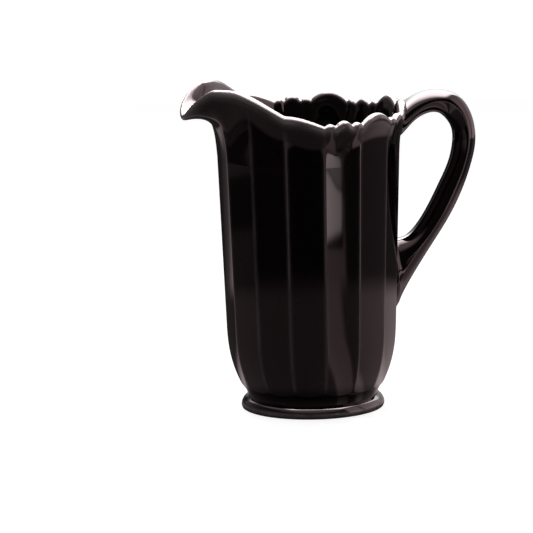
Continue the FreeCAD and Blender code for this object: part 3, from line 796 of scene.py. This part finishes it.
def makeHandle():
    look, form = handleLook, jugForm
    drop = look["crest"] - look["footHeight"]
    upper, lower = form["shoulderRadius"] - look["rootBite"], form["waistRadius"] - look["rootBite"]
    crest, reach = look["crest"], look["reach"]
    outerDrop, innerDrop = look["upperRoot"]
    stations = [(upper, crest - outerDrop * drop, upper, crest - innerDrop * drop, look["rootFlare"])]
    for outer, outerDrop, inner, innerDrop in look["places"]:
        stations.append((outer * reach, crest - outerDrop * drop, inner * reach, crest - innerDrop * drop, 0))
    stations.append((lower, look["footHeight"], lower, crest - look["lowerRoot"] * drop, look["rootFlare"]))
    stations = np.array(stations)
    middles = (stations[:, :2] + stations[:, 2:4]) / 2
    places = lengthsAlong(middles)
    evenly = np.linspace(0, 1, look["rows"])
    crowded = 0.5 - 0.5 * np.cos(evenly * halfTurn)
    wanted = places[-1] * (evenly + look["crowding"] * (crowded - evenly))
    run = splineThrough(places, stations, np.clip(wanted, 0, places[-1]))
    points, ways, thinAndHighlightRows = [], [], []
    sideways = np.array([0.0, 1.0, 0.0])
    for outerOut, outerHigh, innerOut, innerHigh, flare in run:
        outer, inner = np.array([outerOut, 0, outerHigh]), np.array([innerOut, 0, innerHigh])
        middle = (outer + inner) / 2
        fromWall = max(0.0, float(middle[0] - ridgeRadius(middle[2])))
        fillet = look["rootFillet"] * math.exp(-fromWall / look["filletReach"])
        thick = unit(outer - inner)
        crown = outer + thick * (look["crownRise"] - look["edgeDrop"] + fillet)
        near = [(outer - thick * (look["edgeDrop"] - fillet), look["halfFlat"]), (middle, look["halfWidth"]),
                (inner - thick * (look["innerSwell"] + fillet), look["innerHalfFlat"])]
        oneSide = [place + sideways * (half + flare + fillet) for place, half in near]
        other = [place - sideways * (half + flare + fillet) for place, half in near]
        forms = look["corners"]
        ring, way, thin = sectionPoints(np.array([crown] + oneSide + other[::-1]), forms + forms[:0:-1], look)
        points.append(ring)
        ways.append(way)
        thinAndHighlightRows.append(thin)
    points, ways, thinAndHighlightRows = np.array(points), np.array(ways), np.array(thinAndHighlightRows)
    along = np.gradient(points, axis=0)
    normals = unit(np.cross(ways, along))
    rows, across = points.shape[:2]
    centres = points.mean(axis=1, keepdims=True)
    if np.sum(normals * (points - centres)) < 0:
        normals = -normals
    whole, wholeNormals = [points.reshape(-1, 3)], [normals.reshape(-1, 3)]
    faces = gridFaces(across, rows, True)
    for row, following, order in ((0, 1, -1), (-1, -2, 1)):
        closeEnd(whole, wholeNormals, faces, points[row], points[following], order)
    return makeSkin("loopHandle", whole, wholeNormals, faces, thinAndHighlightRows)


handle = makeHandle()


# Foot: a turned bead, hollowed underneath

footLook = {
    "columns": 240,
    "recessDepth": 0.0018,
    "recessRadius": 0.0382,
    # from the flat ring round the bead to the neck
    "bead": ((0.0400, 0.0000), (0.0440, 0.0000), (0.0481, 0.0000), (0.0490, 0.00025), (0.0497, 0.0014),
             (0.04995, 0.0028), (0.0497, 0.0043), (0.04905, 0.0057), (0.0483, 0.0069), (0.0474, 0.0077),
             (0.0463, 0.0083), (0.0452, 0.0088)),
    "beadRows": 72,
    # a pale line round the bead's widest edge: painted highlight, partly glaze run thin
    "thinAndHighlightShare": 0.5,
    "thinAndHighlightFrom": 0.0500,          # the bead's outermost line
    "thinAndHighlightFade": 0.0004,
    "sharpFrom": 35.0,           # degrees
}


def makeFoot():
    look = footLook
    bead = np.array(look["bead"])
    places = lengthsAlong(bead)
    curve = splineThrough(places, bead, np.linspace(0, places[-1], look["beadRows"]))
    curve[:, 1] = np.maximum(curve[:, 1], 0)
    hollow = [(0.0, look["recessDepth"]), (look["recessRadius"], look["recessDepth"])]
    outline = np.concatenate([hollow, curve, [(0.0, jugForm["neckHeight"])]])
    turns = np.arange(look["columns"]) / look["columns"] * 2 * halfTurn
    points = [(0.0, 0.0, outline[0][1])]
    for radius, height in outline[1:-1]:
        points.extend((radius * math.cos(turn), radius * math.sin(turn), height) for turn in turns)
    points.append((0.0, 0.0, outline[-1][1]))
    rings, across = len(outline) - 2, look["columns"]
    faces = [tuple(i + 1 for i in face) for face in gridFaces(across, rings, True)]
    last = len(points) - 1
    for column in range(across):
        following = (column + 1) % across
        faces.append((0, 1 + following, 1 + column))
        faces.append((last, 1 + (rings - 1) * across + column, 1 + (rings - 1) * across + following))
    away = np.hypot(*np.array(points)[:, :2].T)
    thin = look["thinAndHighlightShare"] * np.exp(-((away - look["thinAndHighlightFrom"]) / look["thinAndHighlightFade"]) ** 2)
    piece = makePiece("beadFoot", points, faces, None, thin, footGlaze)
    piece.data.set_sharp_from_angle(angle=math.radians(look["sharpFrom"]))
    return piece


foot = makeFoot()

for piece, node in ((foot, "foot"), (body, "body"), (collar, "collar"), (spout, "spout"), (handle, "handle")):
    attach(piece, "root")
    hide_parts(node)
print("pieces in place")


# Floor, surroundings, lamps and camera

studio = {
    "floorFront": -0.60,          # the white floor's front edge, on the camera's side
    "floorSide": 1.4,
    "floorBack": 2.4,
    "floorColour": (0.45, 0.45, 0.45),
    "floorRoughness": 0.28,
    "floorGlow": 0.86,
    "worldFill": 0.30,
    "glowColour": (1.0, 0.82, 0.85),
    "top": {"place": (0.05, 0.30, 1.05), "aim": (0.0, 0.0, 0.20), "size": (1.0, 0.7), "radiance": 3.4},
}

# tones that the glaze shows of the table round it, by the way round from the camera's side
tableLook = {
    "height": 0.0006,
    "from": 0.040,
    "fineTo": 0.90,
    "reach": 1.45,
    "near": ((-180, 0.05), (-131, 0.05), (-124, 0.5), (-118, 0.6), (-112, 0.18), (-50, 0.13), (-5, 0.11),
             (26, 0.16), (28.5, 0.62), (34, 0.50), (39, 0.46), (41, 0.12), (50, 0.16), (55, 0.85),
             (61, 0.85), (66, 0.34), (90, 0.50), (100, 0.9), (112, 0.9), (120, 0.55), (150, 0.45),
             (180, 0.05)),
    "far": ((-180, 0.03), (-148, 0.03), (-142, 0.12), (-136, 0.6), (-131, 0.7), (-128, 0.02), (-50, 0.01),
            (-44, 0.01), (-40, 0.10), (-18, 0.32), (-14, 0.005), (3, 0.005), (7, 0.32), (28, 0.35),
            (31, 0.02), (33, 0.45), (42, 0.35), (43, 0.03), (57, 0.02), (60, 2.0), (66, 2.0), (69, 0.09),
            (90, 0.11), (99, 0.14), (106, 0.35), (118, 0.30), (126, 0.04), (180, 0.03)),
    "beyond": ((-180, 0.03), (-160, 0.12), (-142, 0.12), (-125, 0.05), (-108, 0.15), (-85, 0.15),
               (-50, 0.06), (-44, 0.06), (-40, 0.10), (-18, 0.32), (-14, 0.02), (3, 0.02), (7, 0.32),
               (28, 0.35), (43, 0.03), (58, 0.1), (61, 2.2), (70, 2.2), (74, 2.0), (82, 1.8), (85, 0.40),
               (92, 0.40), (95, 1.8), (112, 1.8), (130, 0.1), (180, 0.03)),
    "toFar": (0.38, 0.48),        # distances between which the one goes over into the other
    "toBeyond": (1.15, 1.28),
    # paler fields to the left, each from one turn and distance to another, with its tone
    "fields": ((-114.0, -80.0, 0.84, 3.0, 0.10), (-114.0, -80.0, 0.44, 0.66, 0.07),
               (-58.0, -42.0, 0.84, 3.0, 0.08)),
    "fieldEdges": (4.0, 0.02, 0.05),      # softness to the sides, inwards and outwards
    "shade": (0.046, 0.070),      # the jug's own shadow round its foot
}

# the dark side of the room, by the way round: the height of its top edge, and its tones
screenLook = {
    "radius": 1.5,
    "low": -1.2,
    "tops": ((-176, 0.02), (-160, 0.9), (-125, 1.4), (-100, 1.6), (0, 1.6), (60, 1.5), (110, 1.2), (150, 0.3),
             (172, 0.0)),
    "tones": ((-176, 0.6), (-160, 0.10), (-120, 0.02), (-112, 0.10), (-83, 0.10), (-79, 0.01), (-60, 0.01),
              (-56, 0.08), (-40, 0.16), (-18, 0.45), (-14, 0.01), (3, 0.01), (7, 0.42), (28, 0.42),
              (31, 0.02), (50, 0.015), (58, 0.1), (61, 2.0), (74, 2.0), (82, 1.8), (85, 0.40), (92, 0.40),
              (95, 1.8), (115, 1.8), (135, 0.5), (150, 0.8), (172, 1.0)),
    # the same above the jug
    "highTones": ((-176, 0.6), (-150, 0.3), (-100, 0.10), (-30, 0.04), (8, 0.02), (50, 0.03), (58, 0.06),
                  (62, 1.5), (84, 1.5), (88, 0.6), (94, 1.5), (115, 1.6), (150, 0.8), (172, 1.0)),
    "toHigh": (0.06, 0.30),       # heights between which the one goes over into the other
    "toCrown": (1.00, 1.50),      # and over which it grows pale towards its top
    "crownTone": 1.0,
}

# the soft light that arches from behind over the jug, by degrees up from behind
archLook = {
    "middle": 0.12,
    "halfWidth": 0.85,
    "away": 1.1,
    "centreHeight": 0.2,
    "rise": 1.0,
    "swing": (122.0, -8.0),
    "tones": ((-8, 0.5), (8, 0.6), (16, 3.0), (30, 4.5), (42, 9.0), (58, 19.0), (104, 19.0), (112, 11.0),
              (122, 4.0)),
    "softEdge": 0.30,
    "colour": (1.0, 1.0, 1.0),
    # its low left end is darker: where that starts, how softly, up to which degrees and how softly, how much
    "darkEnd": (-0.25, 0.30, 12.0, 20.0, 0.94),
}

# the low window to the right, with the fold that runs across it
windowLook = {
    "away": 0.5,
    "turn": 37.4,
    "halfTurn": 4.1,
    "heights": (0.012, 0.087),
    "lowEdge": (0.017, 0.005, 0.008),     # height, its rise to the right and its softness
    "rightEdge": 0.30,
    "tone": (2.0, -0.6),                  # in the middle, and its change to the right
    "fold": (0.067, 0.009, 2.0),          # height, its fall to the right and how steep that is
    "foldLine": (0.12, 0.0010, 0.0018),   # its tone, half width and softness
    "aboveFold": (0.55, 0.003),           # how much darker it is above, and how softly
    "colour": (1.0, 0.95, 0.96),
}

cameraLook = {
    "turn": -15.5, "height": 10.4, "roll": -1.13, "distance": 3.6,
    "metresPerPixel": 0.0007, "footAcross": 313.1, "footDown": 405.3, "frameSize": 533.0,
}


def whiteShare(tree):
    # 1 for what the camera, a mirror or a glass sees
    path = addNode(tree, "ShaderNodeLightPath").outputs
    share = nodeMath(tree, "MAXIMUM", path["Is Camera Ray"], path["Is Glossy Ray"])
    return share.by("MAXIMUM", path["Is Transmission Ray"])


def makeWorld():
    world = bpy.data.worlds.new("paleRoom")
    scene.world = world
    world.use_nodes = True
    tree = world.node_tree
    fill = mixColours(tree, whiteShare(tree), (studio["worldFill"],) * 3, (1, 1, 1))
    fillIn(tree, tree.nodes["Background"], {"Color": fill, "Strength": 1.0})


def stagedPiece(name, points, faces):
    piece = newPiece(name, points, faces)
    material = bpy.data.materials.new(name)
    material.use_nodes = True
    piece.data.materials.append(material)
    return piece, material.node_tree


def makeFloor():
    side, near, far = studio["floorSide"], studio["floorFront"], studio["floorBack"]
    corners = seenFromCamera(np.array([-side, side, side, -side]), np.array([near, near, far, far]), 0.0)
    tree = stagedPiece("paleFloor", corners, [(0, 1, 2, 3)])[1]
    glow = mixColours(tree, whiteShare(tree) * studio["floorGlow"], (0, 0, 0), (1, 1, 1))
    fillIn(tree, tree.nodes["Principled BSDF"], {
        "Base Color": studio["floorColour"], "Roughness": studio["floorRoughness"],
        "Emission Color": glow, "Emission Strength": 1.0})


def glowPiece(name, points, tones, colour=studio["glowColour"], closed=False, firstOnly=False):
    # a grid in the surroundings that only the glaze shows, with its own tones
    rows, across = points.shape[:2]
    piece, tree = stagedPiece(name, points, gridFaces(across, rows, closed))
    values = piece.data.attributes.new("tone", "FLOAT", "POINT").data
    values.foreach_set("value", tones.ravel().astype(np.float32))
    strength = attributeAt(tree, "tone")
    if firstOnly:
        # not shown again by what is mirrored inside the jug
        bounces = addNode(tree, "ShaderNodeLightPath").outputs["Glossy Depth"]
        strength = nodeMath(tree, "LESS_THAN", bounces, 1.5) * strength
    glow = addNode(tree, "ShaderNodeEmission", {"Color": colour, "Strength": strength})
    fillIn(tree, tree.nodes["Material Output"], {"Surface": glow.outputs[0]})
    for unseen in ("camera", "diffuse", "shadow", "transmission"):
        setattr(piece, "visible_" + unseen, False)


def seenFromCamera(right, away, height):
    # places given to the right of the camera's line, away from the camera and up
    turn = math.radians(cameraLook["turn"])
    spots = np.broadcast_arrays(right * np.cos(turn) - away * np.sin(turn),
                                right * np.sin(turn) + away * np.cos(turn), height)
    return np.stack(spots, axis=-1)


def roundJug(away, degrees, height):
    # the same, by the distance from the jug and the way round from the camera's side
    turns = np.radians(degrees)
    return seenFromCamera(away * np.sin(turns), -away * np.cos(turns), height)


def toneAt(rows, wanted):
    return np.interp(wanted, *np.array(rows).T)


def between(edges, values):
    # 0 before the first edge, 1 past the second, going over softly
    low, high = edges
    return smooth((values - low) / (high - low))


def makeTable():
    # the table as it shows in the glaze, a hair above the white floor
    look = tableLook
    away = np.concatenate([np.linspace(look["from"], look["fineTo"], 130),
                           np.linspace(look["fineTo"] + 0.05, look["reach"], 8)])[:, None]
    degrees = np.linspace(-180, 180, 361)[None, :-1]
    tones = toneAt(look["near"], degrees) + 0 * away
    for further, edges in (("far", "toFar"), ("beyond", "toBeyond")):
        tones = tones + (toneAt(look[further], degrees) - tones) * between(look[edges], away)
    sideways, inwards, outwards = look["fieldEdges"]
    for fromTurn, toTurn, fromAway, toAway, tone in look["fields"]:
        inside = smooth((degrees - fromTurn) / sideways) * smooth((toTurn - degrees) / sideways) \
            * smooth((away - fromAway) / inwards) * smooth((toAway - away) / outwards)
        tones = tones + (tone - tones) * inside
    tones = tones * between(look["shade"], away)
    glowPiece("tableInGlaze", roundJug(away, degrees, look["height"]), tones, closed=True)


def makeScreen():
    look = screenLook
    wanted = np.linspace(look["tops"][0][0], look["tops"][-1][0], 349)
    heights = np.linspace(look["low"], toneAt(look["tops"], wanted), 40, axis=0)
    tones = toneAt(look["tones"], wanted) + 0 * heights
    tones = tones + (toneAt(look["highTones"], wanted) - tones) * between(look["toHigh"], heights)
    tones = tones + (look["crownTone"] - tones) * between(look["toCrown"], heights)
    glowPiece("darkScreen", roundJug(look["radius"], wanted, heights), tones)


def makeArch():
    look = archLook
    across, degrees = np.meshgrid(np.linspace(-1, 1, 33), np.linspace(*look["swing"], 25))
    swing = np.radians(degrees)
    points = seenFromCamera(look["middle"] + look["halfWidth"] * across, look["away"] * np.cos(swing),
                            look["centreHeight"] + look["rise"] * np.sin(swing))
    edge = smooth((1 - np.abs(across)) / look["softEdge"])
    tones = 1.0 + edge * (toneAt(look["tones"], degrees) - 1.0)
    startAt, startSoft, upTo, upSoft, amount = look["darkEnd"]
    darker = smooth((startAt - across) / startSoft) * (1 - smooth((degrees - upTo) / upSoft))
    glowPiece("archInGlaze", points, tones * (1 - amount * darker), look["colour"], firstOnly=True)


def makeWindow():
    look = windowLook
    across, height = np.meshgrid(np.linspace(-1, 1, 41), np.linspace(*look["heights"], 64))
    points = roundJug(look["away"], look["turn"] + look["halfTurn"] * across, height)
    low, lowRise, lowSoft = look["lowEdge"]
    middleTone, toneChange = look["tone"]
    tones = smooth((height - low - lowRise * across) / lowSoft) * smooth((1 - across) / look["rightEdge"])
    tones = tones * (middleTone + toneChange * across)
    foldHeight, foldFall, foldSteep = look["fold"]
    past = height - foldHeight + foldFall * np.tanh(foldSteep * across)
    lineTone, lineHalf, lineSoft = look["foldLine"]
    tones = tones * (lineTone + (1 - lineTone) * smooth((np.abs(past) - lineHalf) / lineSoft))
    darkening, aboveSoft = look["aboveFold"]
    glowPiece("windowInGlaze", points, tones * (1 - darkening * smooth(past / aboveSoft)), look["colour"])


def makeTopLamp():
    look = studio["top"]
    data = bpy.data.lights.new("topLamp", "AREA")
    data.shape = "RECTANGLE"
    data.size, data.size_y = look["size"]
    data.energy = look["radiance"] * halfTurn * data.size * data.size_y
    lamp = bpy.data.objects.new("topLamp", data)
    lamp.location = look["place"]
    toLamp = Vector(look["place"]) - Vector(look["aim"])
    lamp.rotation_euler = toLamp.to_track_quat("Z", "Y").to_euler()
    lamp.visible_camera = lamp.visible_glossy = False
    scene.collection.objects.link(lamp)


def makeCamera():
    look = cameraLook
    turn, height, roll = (math.radians(look[key]) for key in ("turn", "height", "roll"))
    back = Vector((math.sin(turn) * math.cos(height), -math.cos(turn) * math.cos(height), math.sin(height)))
    level = Vector((math.cos(turn), math.sin(turn), 0))
    rise = back.cross(level)
    right = math.cos(roll) * level + math.sin(roll) * rise
    up = -math.sin(roll) * level + math.cos(roll) * rise
    middle = look["frameSize"] / 2
    aim = -(right * (look["footAcross"] - middle) + up * (middle - look["footDown"])) * look["metresPerPixel"]
    data = bpy.data.cameras.new("photoCamera")
    data.sensor_width = 36.0
    data.lens = 36.0 * look["distance"] / (look["metresPerPixel"] * look["frameSize"])
    data.clip_start, data.clip_end = 0.1, 30.0
    camera = bpy.data.objects.new("photoCamera", data)
    stance = Matrix((right, up, back)).transposed().to_4x4()
    stance.translation = aim + look["distance"] * back
    camera.matrix_world = stance
    scene.collection.objects.link(camera)
    scene.camera = camera


makeWorld()
makeFloor()
makeTable()
makeScreen()
makeArch()
makeWindow()
makeTopLamp()
makeCamera()
scene.view_settings.view_transform = "Standard"
print("studio ready")
